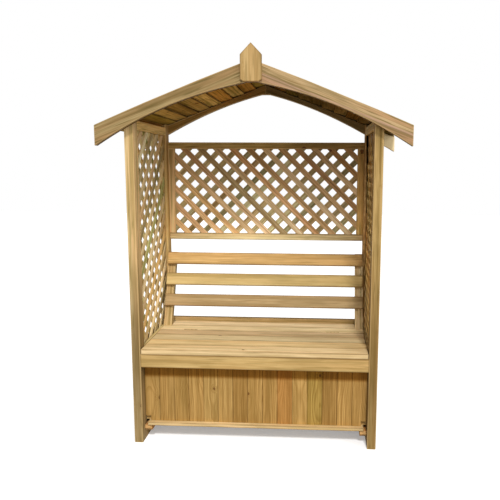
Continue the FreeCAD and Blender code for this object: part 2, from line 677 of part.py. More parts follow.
def box_floor():
    floor_x = (f"-{inner_x} + dims.floor_end_gap", f"{inner_x} - dims.floor_end_gap")
    floor_z = (floor_under, "dims.floor_level")
    front_edge = f"({front} + dims.floor_front)"
    front_board_y = (front_edge, f"{front_edge} + dims.floor_front_width")
    node("floor_front_board", timber("floor_front_board", ALONG_X, floor_x, front_board_y, floor_z))

    next_edge = f"({front_edge} + dims.floor_front_width + dims.floor_gap)"
    rest = f"({box_back} + dims.floor_gap - {next_edge})"
    board_count = f"round({rest} / dims.floor_board_cover)"
    pitch = f"({rest} / {board_count})"
    first_y = (next_edge, f"{next_edge} + {pitch} - dims.floor_gap")
    boards = row_of_boards("floor_boards", ALONG_X, floor_x, first_y, floor_z, "Y_Axis", pitch, board_count)
    node("floor_boards", boards)

    bearer_front = f"({front} + dims.floor_bearer_inset)"
    bearer_rear = f"({rear} - dims.floor_bearer_inset)"
    bearer_foot = f"({floor_under} - dims.floor_bearer_height)"
    corners = [
        (f"{bearer_front} + dims.floor_bearer_bevel", bearer_foot),
        (bearer_rear, bearer_foot),
        (bearer_rear, floor_under),
        (bearer_front, floor_under),
        (bearer_front, f"{bearer_foot} + dims.floor_bearer_bevel"),
    ]
    bearer_x = (f"{inner_x} - dims.floor_bearer_width", inner_x)
    node_pair("floor_bearer", padded("floor_bearer", "YZ_Plane", corners, bearer_x))


# Roof
def arch_outline(top_centre, top_end):
    """Corners of half an arched board, from the middle of the roof to its outer end."""
    return [
        ("0", f"{apex} - dims.arch_depth_centre"),
        ("dims.arch_flat / 2", f"{apex} - dims.arch_depth_centre"),
        (half_span, f"{roof_line(half_span)} - dims.arch_depth_end"),
        (half_span, top_end),
        ("0", top_centre),
    ]


def arched_boards():
    boards = arch_outline(apex, roof_line(half_span))
    lower_arc = {1: "dims.arch_rise"}
    front_y = (f"{front} - dims.arch_thickness", front)
    rear_y = (rear, f"{rear} + dims.arch_thickness")
    front_fascia_y = (f"{front} - 2 * dims.arch_thickness", f"{front} - dims.arch_thickness")
    rear_fascia_y = (f"{rear} + dims.arch_thickness", f"{rear} + 2 * dims.arch_thickness")
    node_pair("front_arch_board", padded("front_arch_board", "XZ_Plane", boards, front_y, lower_arc))
    node_pair("rear_arch_board", padded("rear_arch_board", "XZ_Plane", boards, rear_y, lower_arc))
    fascia = arch_outline(f"{apex} + dims.fascia_stand", f"{roof_line(half_span)} + dims.fascia_stand")
    both_arcs = {1: "dims.arch_rise", 3: "-dims.fascia_crown"}
    node_pair("front_fascia", padded("front_fascia", "XZ_Plane", fascia, front_fascia_y, both_arcs))
    node_pair("rear_fascia", padded("rear_fascia", "XZ_Plane", fascia, rear_fascia_y, both_arcs))


def roof_slats():
    pitch = "dims.roof_pitch * 1deg"
    slope_length = f"(({half_span} - dims.roof_slat_setback) / cos({pitch}))"
    slat_count = f"round({slope_length} / dims.roof_slat_cover)"
    exposure = f"({slope_length} / {slat_count})"
    tilt = f"asin((dims.roof_slat_thickness + dims.lap_gap) / {exposure})"
    roof_y = (f"{front} - dims.arch_thickness", f"{rear} + dims.arch_thickness")
    slats = []
    for index in range(round(value(slat_count))):
        slat = doc.addObject("Part::Box", f"roof_slat_{index + 1}")
        upper_edge = f"({slope_length} - {index} * {exposure} - dims.roof_slat_width * cos({tilt}))"
        bind(slat, "Length", "dims.roof_slat_width")
        bind(slat, "Width", span(roof_y))
        bind(slat, "Height", "dims.roof_slat_thickness")
        slat.Placement.Rotation = FreeCAD.Rotation(ALONG_Y, 1)
        bind(slat, "Placement.Rotation.Angle", f"{pitch} - {tilt}")
        edge_z = f"{apex} - {upper_edge} * sin({pitch})"
        bind_base(slat, (f"{upper_edge} * cos({pitch})", roof_y[0], edge_z))
        slats.append(slat)
    room = "dims.roof_slat_width"
    roof_x = ("0", f"{half_span} + {room}")
    roof_z = (f"{roof_line(half_span)} - {room}", f"{apex} + {room}")
    mitred = doc.addObject("Part::Common", "roof_slats")
    mitred.Base = group("roof_slats_uncut", slats)
    mitred.Tool = plain_box("roof_half", roof_x, roof_y, roof_z)
    node_pair("roof_slats", mitred)


def finial():
    half = "(dims.finial_width / 2)"
    foot = f"({apex} - dims.finial_drop)"
    point = f"({apex} + dims.finial_rise)"
    shoulder = f"({point} - dims.finial_point)"
    cut_z = f"{foot} + dims.finial_foot_height"
    corners = [
        (f"-{half} + dims.finial_foot_width", foot),
        (f"{half} - dims.finial_foot_width", foot),
        (half, cut_z),
        (half, shoulder),
        ("0", point),
        (f"-{half}", shoulder),
        (f"-{half}", cut_z),
    ]
    rear_face = f"{front} - 2 * dims.arch_thickness"
    finial_y = (f"{rear_face} - dims.finial_thickness", rear_face)
    node("finial", padded("finial", "XZ_Plane", corners, finial_y))


side_panels()
back_panel()
backrest()
seat()
hinges()
storage_box()
box_floor()
arched_boards()
roof_slats()
finial()
doc.recompute()

for item in doc.Objects:
    if "Invalid" in item.State or "Error" in item.State:
        raise RuntimeError(f"{item.Name} is {item.State}")
for piece in nodes:
    if piece.Shape.isNull() or not piece.Shape.isValid() or not piece.Shape.Solids:
        raise RuntimeError(f"{piece.Label} has no valid solid")

os.makedirs("parts", exist_ok=True)
for piece in nodes:
    piece.Shape.exportStep(f"parts/{piece.Label}.step")
print(f"{len(nodes)} sub-parts, {sum(len(piece.Shape.Solids) for piece in nodes)} solids")
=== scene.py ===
"""Arbour seat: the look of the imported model, with its timber, steel, light and camera."""
import functools
import math
import random

import bmesh
import bpy
from mathutils import Matrix, Vector


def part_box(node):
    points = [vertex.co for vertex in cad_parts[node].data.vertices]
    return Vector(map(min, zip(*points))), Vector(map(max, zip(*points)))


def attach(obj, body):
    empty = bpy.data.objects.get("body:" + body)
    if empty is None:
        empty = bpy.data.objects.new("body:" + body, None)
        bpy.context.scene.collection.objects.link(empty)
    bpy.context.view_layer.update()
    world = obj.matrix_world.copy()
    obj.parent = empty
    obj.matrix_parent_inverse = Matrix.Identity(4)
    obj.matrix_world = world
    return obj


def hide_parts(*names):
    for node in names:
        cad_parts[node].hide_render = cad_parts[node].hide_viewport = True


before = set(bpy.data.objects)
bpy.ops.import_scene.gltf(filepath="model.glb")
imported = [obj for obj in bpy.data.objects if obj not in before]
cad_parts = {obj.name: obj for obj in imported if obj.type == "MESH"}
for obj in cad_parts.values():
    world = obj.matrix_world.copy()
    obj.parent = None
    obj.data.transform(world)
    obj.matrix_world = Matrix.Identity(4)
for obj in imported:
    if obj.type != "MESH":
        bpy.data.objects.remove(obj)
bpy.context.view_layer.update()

MM = 0.001
ALONG_X = Vector((1, 0, 0))
ALONG_Y = Vector((0, 1, 0))
ALONG_Z = Vector((0, 0, 1))


# Node trees

WHITE = (1.0, 1.0, 1.0, 1.0)

# Places of the Mix node's colours among its sockets
FIRST_COLOUR = 6
SECOND_COLOUR = 7
MIXED_COLOUR = 2


class Tree:
    """The nodes of a material or world, added and linked in one call each."""

    def __init__(self, owner):
        owner.use_nodes = True
        self.owner = owner
        self.nodes = owner.node_tree.nodes
        self.links = owner.node_tree.links
        self.nodes.clear()

    def put(self, value, socket):
        """Links another node's output to a socket, or sets the socket's own value."""
        if isinstance(value, bpy.types.NodeSocket):
            self.links.new(value, socket)
        else:
            socket.default_value = value

    def add(self, kind, inputs=(), **settings):
        node = self.nodes.new(kind)
        for key, value in settings.items():
            setattr(node, key, value)
        for key, value in dict(inputs).items():
            self.put(value, node.inputs[key])
        return node

    def attribute(self, name, output):
        return self.add("ShaderNodeAttribute", attribute_name=name).outputs[output]

    def place(self):
        """The place on the object, in metres."""
        return self.add("ShaderNodeTexCoord").outputs["Object"]

    def split(self, vector):
        return self.add("ShaderNodeSeparateXYZ", {0: vector}).outputs

    def math(self, operation, first, second=0.0, clamp=False):
        inputs = {0: first, 1: second}
        return self.add("ShaderNodeMath", inputs, operation=operation, use_clamp=clamp).outputs[0]

    def plus(self, first, second):
        return self.math("ADD", first, second)

    def minus(self, first, second):
        return self.math("SUBTRACT", first, second)

    def times(self, first, second):
        return self.math("MULTIPLY", first, second)

    def vector(self, operation, first, second=(0, 0, 0)):
        node = self.add("ShaderNodeVectorMath", {0: first, 1: second}, operation=operation)
        return node.outputs["Value" if operation == "LENGTH" else "Vector"]

    def spread(self, value, low, high, to_low=0.0, to_high=1.0):
        """The value between low and high, spread out smoothly between two others."""
        inputs = {"Value": value, "From Min": low, "From Max": high, "To Min": to_low, "To Max": to_high}
        return self.add("ShaderNodeMapRange", inputs, interpolation_type="SMOOTHSTEP").outputs["Result"]

    def noise(self, vector, stretch, detail=2.0, roughness=0.5):
        """Noise with so many features to a metre along the grain, across it and through it."""
        scaled = self.vector("MULTIPLY", vector, stretch)
        inputs = {"Vector": scaled, "Scale": 1.0, "Detail": detail, "Roughness": roughness}
        return self.add("ShaderNodeTexNoise", inputs).outputs["Fac"]

    def mix(self, amount, first, second, blend="MIX"):
        node = self.add("ShaderNodeMix", data_type="RGBA", blend_type=blend)
        self.put(amount, node.inputs["Factor"])
        self.put(first, node.inputs[FIRST_COLOUR])
        self.put(second, node.inputs[SECOND_COLOUR])
        return node.outputs[MIXED_COLOUR]

    def tinted(self, amount, shade, tint):
        """A shade multiplied by a tint where the amount is 1."""
        return self.mix(amount, shade, self.mix(1.0, shade, tint, "MULTIPLY"))

    def finish(self, shade, gloss, height, strength, depth, **more):
        """The surface of a material, with a bump of so much depth in metres."""
        bump = self.add("ShaderNodeBump", {"Strength": strength, "Distance": depth, "Height": height})
        inputs = {"Base Color": shade, "Roughness": gloss, "Normal": bump.outputs[0]}
        for name, value in more.items():
            inputs[name] = value
        shader = self.add("ShaderNodeBsdfPrincipled", inputs)
        self.add("ShaderNodeOutputMaterial", {"Surface": shader.outputs[0]})
        return self.owner

    def seen_rays(self):
        """1 for a ray from the camera, a glossy surface or a clear one, and 0 for any other."""
        path = self.add("ShaderNodeLightPath").outputs
        seen = self.math("MAXIMUM", path["Is Camera Ray"], path["Is Glossy Ray"])
        return self.math("MAXIMUM", seen, path["Is Transmission Ray"])


def colour(red, green, blue):
    """A colour as it is seen on a screen, 0 to 255, in the linear values that the shader takes."""
    def linear(value):
        value /= 255
        return value / 12.92 if value < 0.04045 else ((value + 0.055) / 1.055) ** 2.4
    return (linear(red), linear(green), linear(blue), 1.0)


# Timber

KNOT = colour(112, 68, 32)
KNOT_RIM = colour(54, 30, 14)
SAPWOOD = colour(196, 152, 124)
# Painted sunlight for the outer ends of the rear arch boards
SUNLIT_END_PAINT = colour(250, 228, 180)
# Colour that the wood darkens to towards the foot
FOOT_DARKENING = colour(92, 72, 34)
END_GRAIN = colour(178, 118, 58)
# Painted shade under the roof
ROOF_SHADE_PAINT = (0.42, 0.35, 0.28, 1.0)
# Painted shadow of the seat's apron
APRON_SHADOW_PAINT = (0.68, 0.5, 0.22, 1.0)

RING_WIDTH = 6.4 * MM
RING_BEND = 70 * MM
RING_WAVER = 3.5 * MM
RING_PARTING = 12 * MM
KNOT_STRETCH = Vector((2.6, 9.0, 0.0))
KNOT_RADIUS = (5 * MM, 11.5 * MM)
SAPWOOD_EDGE = (-3 * MM, 4 * MM)
SAPWOOD_WAVER = 12 * MM

# Where painted sunlight, darker feet, painted roof shade and the apron's painted shadow begin and end, in
# metres from the middle or above the ground
SUNLIT_END_REACH = (0.63, 0.66)
DARKENING_HEIGHTS = (0.45, 1.15)
FOOT_HEIGHTS = (0.0, 0.4)
ROOF_SHADE_HEIGHTS = (1.0, 1.55)
APRON_SHADOW_HEIGHTS = (0.326, 0.35)

# What the marks of a vertex say about its face
END_FACE = 1.0
SIDE_FACE = -1.0

# Noise patterns: start on the grain, features to a metre of it, detail and roughness
PATTERNS = {
    "fibre": ((0.0, 0.0, 0.0), (6.0, 520.0, 520.0), 3.0, 0.65),
    "thread": ((0.0, 0.0, 0.0), (2.2, 150.0, 150.0), 3.0, 0.6),
    "fleck": ((1.0, 5.0, 2.0), (5.0, 95.0, 95.0), 2.0, 0.55),
    "long_streak": ((0.0, 0.0, 0.0), (1.3, 58.0, 58.0), 3.0, 0.6),
    "wide_streak": ((7.0, 3.0, 5.0), (0.8, 24.0, 24.0), 2.0, 0.5),
    "heart": ((4.0, 6.0, 1.0), (0.35, 12.0, 12.0), 1.0, 0.4),
    "cloud": ((2.0, 9.0, 4.0), (3.5, 14.0, 14.0), 3.0, 0.6),
}


def knots_in(tree, grain, kind, share):
    """The wood round the knots, the knots and their rims; a share of the grain's cells holds a knot."""
    # A knot goes straight through a board, so only the place on its face counts, and a side face has none.
    stretched = tree.vector("MULTIPLY", grain, KNOT_STRETCH)
    cells = tree.add("ShaderNodeTexVoronoi", {"Vector": stretched, "Scale": 1.0}, voronoi_dimensions="2D")
    offset = tree.vector("SUBTRACT", stretched, cells.outputs["Position"])
    offset = tree.vector("MULTIPLY", offset, (1 / KNOT_STRETCH.x, 1 / KNOT_STRETCH.y, 0.0))
    chance = tree.add("ShaderNodeSeparateColor", {0: cells.outputs["Color"]}).outputs
    radius = tree.spread(chance[1], 0.0, 1.0, *KNOT_RADIUS)
    longer = tree.vector("MULTIPLY", offset, (0.75, 1.0, 0.0))
    ragged = tree.spread(tree.noise(grain, (90.0, 140.0, 0.0)), 0.2, 0.8, 0.75, 1.25)
    reach = tree.times(tree.math("DIVIDE", tree.vector("LENGTH", longer), radius), ragged)
    present = tree.math("LESS_THAN", chance[0], share)
    present = tree.times(present, tree.math("GREATER_THAN", kind, SIDE_FACE / 2))
    around = tree.times(tree.spread(reach, 0.6, 4.5, 1.0, 0.0), present)
    knot = tree.times(tree.spread(reach, 0.8, 1.15, 1.0, 0.0), present)
    rim = tree.times(tree.spread(reach, 0.5, 0.95), knot)
    return around, knot, rim


def rings_in(tree, grain, around, waver, sway):
    """The dark late wood of each year; the rings bend a little along the board and part at a knot."""
    _, across, through = tree.split(grain)
    spoke = tree.add("ShaderNodeCombineXYZ", {1: across, 2: through}).outputs[0]
    bend = tree.noise(grain, (sway, 2.6, 2.6))
    bend = tree.times(tree.minus(bend, 0.5), RING_BEND)
    bend = tree.plus(bend, tree.times(waver, RING_WAVER))
    bend = tree.plus(bend, tree.times(around, RING_PARTING))
    ring_place = tree.times(tree.plus(tree.vector("LENGTH", spoke), bend), 1 / RING_WIDTH)
    phase = tree.math("FRACT", ring_place)
    year = tree.add("ShaderNodeTexWhiteNoise", {"W": tree.math("FLOOR", ring_place)}, noise_dimensions="1D")
    late = tree.times(tree.spread(phase, 0.3, 0.88), tree.spread(phase, 0.9, 1.0, 1.0, 0.0))
    return tree.times(late, tree.spread(year.outputs[0], 0.0, 1.0, 0.25, 1.0))


def timber(name, pale, ring, streak, blush, edge, worn=0.4, streaks=0.5, knots=0.35, rings=0.6, hearts=0.3,
           sapwood=0.0, sway=0.8, painted_apron_shadow=0.0, sunlit_ends=0.0, gleam=0.08):
    """Sawn softwood: rings, heartwood, streaks, knots, end grain, rubbed or dirty edges, darker feet, and
    painted sunlight, painted roof shade and the apron's painted shadow.
    """
    tree = Tree(bpy.data.materials.new(name))
    grain = tree.attribute("grain", "Vector")
    tone = tree.attribute("tone", "Color")
    from_split = tree.attribute("tone", "Alpha")
    wear, kind, foot_darkening = tree.split(tree.attribute("marks", "Vector"))
    outward, _, above = tree.split(tree.place())

    around, knot, rim = knots_in(tree, grain, kind, knots)
    waver = tree.noise(grain, (5.0, 40.0, 40.0))
    late = rings_in(tree, grain, around, waver, sway)
    noise = {}
    for pattern, (start, *shape) in PATTERNS.items():
        noise[pattern] = tree.noise(tree.vector("ADD", grain, start), *shape)

    # The colours run from the plain wood up to the knots.
    shade = tree.mix(tree.times(late, rings), pale, ring)
    shade = tree.mix(tree.spread(noise["heart"], 0.5, 0.55, 0.0, hearts), shade, blush)
    if sapwood:
        border = tree.plus(from_split, tree.times(tree.minus(waver, 0.5), SAPWOOD_WAVER))
        shade = tree.mix(tree.spread(border, *SAPWOOD_EDGE, sapwood, 0.0), shade, SAPWOOD)
    layers = (
        ("wide_streak", 0.45, 0.62, streaks, blush),
        ("long_streak", 0.48, 0.64, streaks, streak),
        ("fleck", 0.55, 0.68, streaks, streak),
        ("thread", 0.46, 0.66, 0.6, ring),
        ("cloud", 0.42, 0.7, 0.4, streak),
        ("fibre", 0.4, 0.7, 0.45, ring),
    )
    for pattern, low, high, most, layer in layers:
        shade = tree.mix(tree.spread(noise[pattern], low, high, 0.0, most), shade, layer)
    for amount, most, layer in ((around, 0.4, ring), (knot, 0.85, KNOT), (rim, 0.8, KNOT_RIM)):
        shade = tree.mix(tree.times(amount, most), shade, layer)
    shade = tree.mix(1.0, shade, tone, "MULTIPLY")

    # Painted light and shade, darker feet, dirt and wear lie over the wood's own colours.
    # Painted sunlight on the outer ends of the board, which the lamps leave in shade.
    if sunlit_ends:
        beyond = tree.spread(tree.math("ABSOLUTE", outward), *SUNLIT_END_REACH, 0.0, sunlit_ends)
        shade = tree.mix(beyond, shade, SUNLIT_END_PAINT)
    # The wood grows darker towards the foot.
    ragged_height = tree.plus(above, tree.times(tree.minus(noise["long_streak"], 0.5), 0.5))
    low = tree.spread(ragged_height, *DARKENING_HEIGHTS, 1.0, 0.0)
    low = tree.times(low, tree.spread(above, *FOOT_HEIGHTS, 0.8, 1.0))
    shade = tree.mix(tree.times(foot_darkening, low), shade, FOOT_DARKENING)
    # Painted shade of the roof over the upper parts of the pieces under it.
    roof_shaded = tree.times(tree.attribute("painted_roof_shade", "Fac"), tree.spread(above, *ROOF_SHADE_HEIGHTS))
    shade = tree.tinted(roof_shaded, shade, ROOF_SHADE_PAINT)
    # Painted shadow of the seat's apron across the top of the box front.
    if painted_apron_shadow:
        shade = tree.tinted(tree.spread(above, *APRON_SHADOW_HEIGHTS, 0.0, painted_apron_shadow), shade, APRON_SHADOW_PAINT)
    rubbed = tree.times(wear, tree.spread(noise["cloud"], 0.3, 0.6, worn * 0.4, worn))
    shade = tree.mix(rubbed, shade, edge)
    shade = tree.mix(tree.math("MULTIPLY", kind, 0.5, clamp=True), shade, END_GRAIN)

    gloss = tree.spread(noise["fibre"], 0.2, 0.8, 0.76, 0.58)
    gloss = tree.minus(gloss, tree.times(knot, 0.16))
    height = tree.plus(tree.times(late, 0.35), tree.times(noise["fibre"], 0.8))
    height = tree.minus(height, tree.times(rim, 0.6))
    return tree.finish(shade, gloss, height, 0.5, 0.6 * MM, **{"Specular IOR Level": gleam})


def steel(name):
    """Hinge steel with a dull yellow zinc coat, clouded and finely scratched."""
    tree = Tree(bpy.data.materials.new(name))
    cloud = tree.noise(tree.place(), (90.0, 90.0, 90.0), 4.0, 0.6)
    scratch = tree.noise(tree.place(), (40.0, 900.0, 900.0), 2.0, 0.6)
    shade = tree.mix(tree.spread(cloud, 0.35, 0.7), colour(184, 158, 112), colour(152, 128, 84))
    gloss = tree.spread(cloud, 0.3, 0.7, 0.5, 0.68)
    return tree.finish(shade, gloss, tree.plus(scratch, cloud), 0.2, 0.2 * MM, Metallic=0.7)


# Pale wood, rings, streaks, blush and edges of each timber
RUBBED = colour(226, 192, 134)
GRIME = colour(64, 44, 20)
SOILED = colour(116, 84, 42)
FRAME_COLOURS = (
    colour(216, 184, 120), colour(170, 132, 72), colour(126, 104, 50), colour(198, 152, 92), RUBBED)
LATH_COLOURS = (
    colour(218, 188, 138), colour(168, 130, 82), colour(122, 98, 56), colour(196, 150, 104), RUBBED)
FASCIA_COLOURS = (
    colour(212, 178, 118), colour(164, 130, 74), colour(108, 92, 40), colour(196, 146, 92), RUBBED)
# The arch boards' and roof boards' colours are darkened as painted shade under the roof; the roof_top tone
# paints the slats' tops lighter again.
ARCH_COLOURS = (
    colour(136, 102, 56), colour(96, 66, 32), colour(84, 62, 28), colour(128, 88, 48), GRIME)
ROOF_COLOURS = (
    colour(192, 152, 82), colour(142, 104, 46), colour(104, 84, 32), colour(172, 126, 62), GRIME)
SEAT_COLOURS = (
    colour(230, 200, 146), colour(192, 156, 100), colour(160, 136, 86), colour(212, 170, 116), SOILED)
BOX_COLOURS = (
    colour(200, 158, 92), colour(142, 104, 48), colour(136, 104, 48), colour(190, 144, 78), GRIME)
BOX_GRAIN = {"worn": 0.12, "streaks": 0.35, "knots": 0.4, "rings": 0.9, "sway": 2.4}

WOODS = {
    "frame_timber": timber("frame_timber_wood", *FRAME_COLOURS, streaks=0.75, knots=0.45),
    "trellis_lath": timber("trellis_lath_wood", *LATH_COLOURS, worn=0.5, streaks=0.65, knots=0.15),
    "fascia_board": timber("fascia_board_wood", *FASCIA_COLOURS, streaks=0.7, hearts=0.2, sapwood=0.6),
    # The rear arch boards' outer ends take painted sunlight.
    "rear_arch": timber("rear_arch_wood", *FASCIA_COLOURS, knots=0.2, sunlit_ends=0.9),
    "arch_board": timber("arch_board_wood", *ARCH_COLOURS, knots=0.3),
    "roof_board": timber("roof_board_wood", *ROOF_COLOURS, worn=0.8, streaks=0.7, gleam=0.0),
    "seat_timber": timber("seat_timber_wood", *SEAT_COLOURS, worn=0.6, streaks=0.55, knots=0.22),
    "box_board": timber("box_board_wood", *BOX_COLOURS, **BOX_GRAIN),
    # The box front's boards take the apron's painted shadow.
    "box_front": timber("box_front_wood", *BOX_COLOURS, **BOX_GRAIN, painted_apron_shadow=1.0),
}


# Tones that single boards take over their timber's own colour

PLAIN = (1.0, 1.0, 1.0)
PALE = (1.22, 1.24, 1.3)
CREAM = (1.3, 1.36, 1.5)
AMBER = (1.0, 0.8, 0.58)
OLIVE = (0.76, 0.84, 0.62)
UMBER = (0.72, 0.68, 0.6)
ROSE = (0.95, 0.84, 0.8)
BARK = (0.58, 0.56, 0.48)
MOSS = (0.62, 0.72, 0.48)
DUSKY = (0.84, 0.82, 0.76)
FAIR = (1.1, 1.14, 1.2)
WARM = (1.0, 0.84, 0.74)
MOSSY = (0.88, 0.94, 0.74)
BOX_TONES = (
    PLAIN, PLAIN, DUSKY, PLAIN, FAIR, PLAIN, DUSKY, PLAIN, PLAIN, WARM, FAIR, MOSSY, DUSKY, PLAIN, PLAIN)
LATH_TONES = (PLAIN, ROSE, PALE, BARK, PLAIN, AMBER, ROSE, CREAM, MOSS, PALE, BARK)
BACK_TONES = (PLAIN, ROSE, PALE, DUSKY, PLAIN, ROSE, BARK, PALE, WARM, PLAIN, FAIR)
SLAT_TONES = (PLAIN, AMBER, OLIVE, PLAIN, UMBER, PLAIN, PALE, AMBER)


# Changes of shape, each of which moves one vertex

LATH_SHARE = 0.7
ROOF_FALL = math.tan(math.radians(21.6))
ROOF_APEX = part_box("left_front_fascia")[1][2]
ARCH_EDGE_DEPTH = 45 * MM
FRONT_ARCH_LIFT = 15 * MM
FRONT_ARCH_START = 0.05
FRONT_ARCH_LENGTH = 0.8
REAR_ARCH_LIFT = 26 * MM
REAR_ARCH_REACH = 0.66
BRACKET_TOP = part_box("backrest_upper_slat")[1][2] - 8 * MM
RAIL_HEIGHT = 38 * MM
RAIL_END = 0.5 * MM
STILE_EDGE, _, PANEL_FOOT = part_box("right_back_stile")[0]
PANEL_EDGE, _, PANEL_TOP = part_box("right_back_stile")[1]


def thinner_lath(place, meeting):
    """A lath planed down towards the plane where the two layers meet."""
    return Vector((meeting + (place.x - meeting) * LATH_SHARE, place.y, place.z))


def lifted_arch(place, lift):
    """The lower edge of an arched board, raised by what lift gives for the distance from the middle."""
    out = abs(place.x)
    if ROOF_APEX - ROOF_FALL * out - place.z < ARCH_EDGE_DEPTH:
        return place
    return place + Vector((0, 0, lift(out)))


def front_arch(place):
    """A front arched board or fascia, raised most halfway down the slope."""
    def lift(out):
        share = (out - FRONT_ARCH_START) / FRONT_ARCH_LENGTH
        return FRONT_ARCH_LIFT * max(0.0, math.sin(math.pi * share))
    return lifted_arch(place, lift)


def rear_arch(place):
    """A rear arched board or fascia, raised most at the middle of the roof."""
    def lift(out):
        return REAR_ARCH_LIFT * math.cos(math.pi / 2 * min(1.0, out / REAR_ARCH_REACH))
    return lifted_arch(place, lift)


def cut_bracket(place):
    """The top of a backrest bracket, cut below the upper edge of the highest slat."""
    return Vector((place.x, place.y, min(place.z, BRACKET_TOP)))


def through_rail(place):
    """A rail of the back panel, carried on to the panel's edge over the end of its stile."""
    if abs(place.x) < STILE_EDGE - RAIL_END:
        return place
    return Vector((math.copysign(PANEL_EDGE, place.x), place.y, place.z))


def short_stile(place):
    """A stile of the back panel, cut to stand between the two rails."""
    height = min(max(place.z, PANEL_FOOT + RAIL_HEIGHT), PANEL_TOP - RAIL_HEIGHT)
    return Vector((place.x, place.y, height))


# Boards from the frame, each with its own grain

MERGE_DISTANCE = 0.01 * MM
FLAT_ANGLE = math.radians(1)
SHARP_ANGLE = math.radians(40)
RIMMED_AREA = 900 * MM * MM
RIMMED_WIDTH = 4.5 * MM
LOG_LENGTH = 40
NEAR_PITH = 0.02
FAR_PITH = 0.07
FACING = 0.7
FACING_DOWN = 0.5


def middle_of(island):
    return sum((vert.co for vert in island), Vector()) / len(island)


def boards_of(mesh):
    """The separate boards in a mesh, as lists of vertices, from left to right, front to back and upward."""
    left = set(mesh.verts)
    islands = []
    for start in list(mesh.verts):
        if start not in left:
            continue
        left.discard(start)
        found = [start]
        for vert in found:
            for edge in vert.link_edges:
                other = edge.other_vert(vert)
                if other in left:
                    left.discard(other)
                    found.append(other)
        islands.append(found)

    def place(island):
        middle = middle_of(island)
        return (round(middle.x, 3), round(middle.y, 3), round(middle.z, 3))
    return sorted(islands, key=place)


def ease_edges(mesh, size):
    """Rounds the sharp edges by so many millimetres."""
    sharp = []
    for edge in mesh.edges:
        if len(edge.link_faces) == 2 and edge.calc_face_angle() > SHARP_ANGLE:
            sharp.append(edge)
    bmesh.ops.bevel(mesh, geom=sharp, offset=size * MM, segments=2, profile=0.5, affect="EDGES",
                    clamp_overlap=True)


def inset_faces(mesh, rim):
    """Gives wide faces a rim of so many millimetres to wear, and returns the vertices inside the rims."""
    wide = []
    for side in mesh.faces:
        area = side.calc_area()
        if area > RIMMED_AREA and 2 * area / side.calc_perimeter() > RIMMED_WIDTH:
            wide.append(side)
    outer = set(mesh.verts)
    bmesh.ops.inset_individual(mesh, faces=wide, thickness=rim * MM, use_even_offset=True)
    return set(mesh.verts) - outer


def dress(node, along, face, tones=None, ease=1.5, body="frame", wood=None, spread=0.08, foot_darkening=0.0,
          shape=None, rim=3.5, front=1.0, split=0.0, under=None, painted_roof_shade=0.0):
    """The node's solids as boards with eased edges, and the grain, tone, wear, darker feet and painted
    light and shade of each one.
    """
    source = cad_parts[node]
    slot = source.data.materials[0].name.split(".")[0]
    dice = random.Random(node)
    mesh = bmesh.new()
    mesh.from_mesh(source.data)
    grain = mesh.verts.layers.float_vector.new("grain")
    tone = mesh.verts.layers.float_color.new("tone")
    marks = mesh.verts.layers.float_vector.new("marks")
    roof_shaded = mesh.verts.layers.float.new("painted_roof_shade")
    mesh.transform(source.matrix_world)
    if shape:
        for vert in mesh.verts:
            vert.co = shape(vert.co)
    bmesh.ops.remove_doubles(mesh, verts=mesh.verts, dist=MERGE_DISTANCE)
    bmesh.ops.dissolve_limit(mesh, angle_limit=FLAT_ANGLE, verts=mesh.verts, edges=mesh.edges)
    ease_edges(mesh, ease)
    inner = inset_faces(mesh, rim)

    along = Vector(along).normalized()
    through = Vector(face).normalized()
    across = through.cross(along)
    upward = across if across.z > 0 else -across
    for index, island in enumerate(boards_of(mesh)):
        middle = middle_of(island)
        shift = Vector((
            dice.uniform(0, LOG_LENGTH),
            dice.uniform(-FAR_PITH, FAR_PITH),
            dice.choice((-1, 1)) * dice.uniform(NEAR_PITH, FAR_PITH),
        ))
        bright = 1 + dice.uniform(-spread, spread)
        warm = dice.uniform(-spread, spread) / 2
        upper = tones[index % len(tones)] if tones else PLAIN
        lower = under[index % len(under)] if under else upper
        for vert in island:
            place = vert.co - middle
            vert[grain] = Vector((place.dot(along), place.dot(across), place.dot(through))) + shift
            # Downward faces take the under tones: painted light on the left roof slats' undersides, painted
            # shade on the right ones.
            red, green, blue = lower if vert.normal.z < -FACING_DOWN else upper
            # Faces towards the front take the front factor: painted shade that keeps them darker than the
            # tops.
            lit = bright * (front if vert.normal.y < -FACING else 1.0)
            from_split = place.dot(upward) - split
            vert[tone] = (lit * red * (1 + warm), lit * green, lit * blue * (1 - warm), from_split)
            kind = 0.0
            if vert in inner and abs(vert.normal.dot(along)) > FACING:
                kind = END_FACE
            elif abs(vert.normal.dot(across)) > FACING:
                kind = SIDE_FACE
            vert[marks] = (0.0 if vert in inner else 1.0, kind, foot_darkening)
            # How much painted roof shade this board takes
            vert[roof_shaded] = painted_roof_shade

    made = bpy.data.meshes.new(node + "_boards")
    mesh.to_mesh(made)
    mesh.free()
    for polygon in made.polygons:
        polygon.use_smooth = False
    piece = bpy.data.objects.new(node + "_boards", made)
    bpy.context.scene.collection.objects.link(piece)
    made.materials.append(WOODS[wood or slot])
    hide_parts(node)
    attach(piece, body)


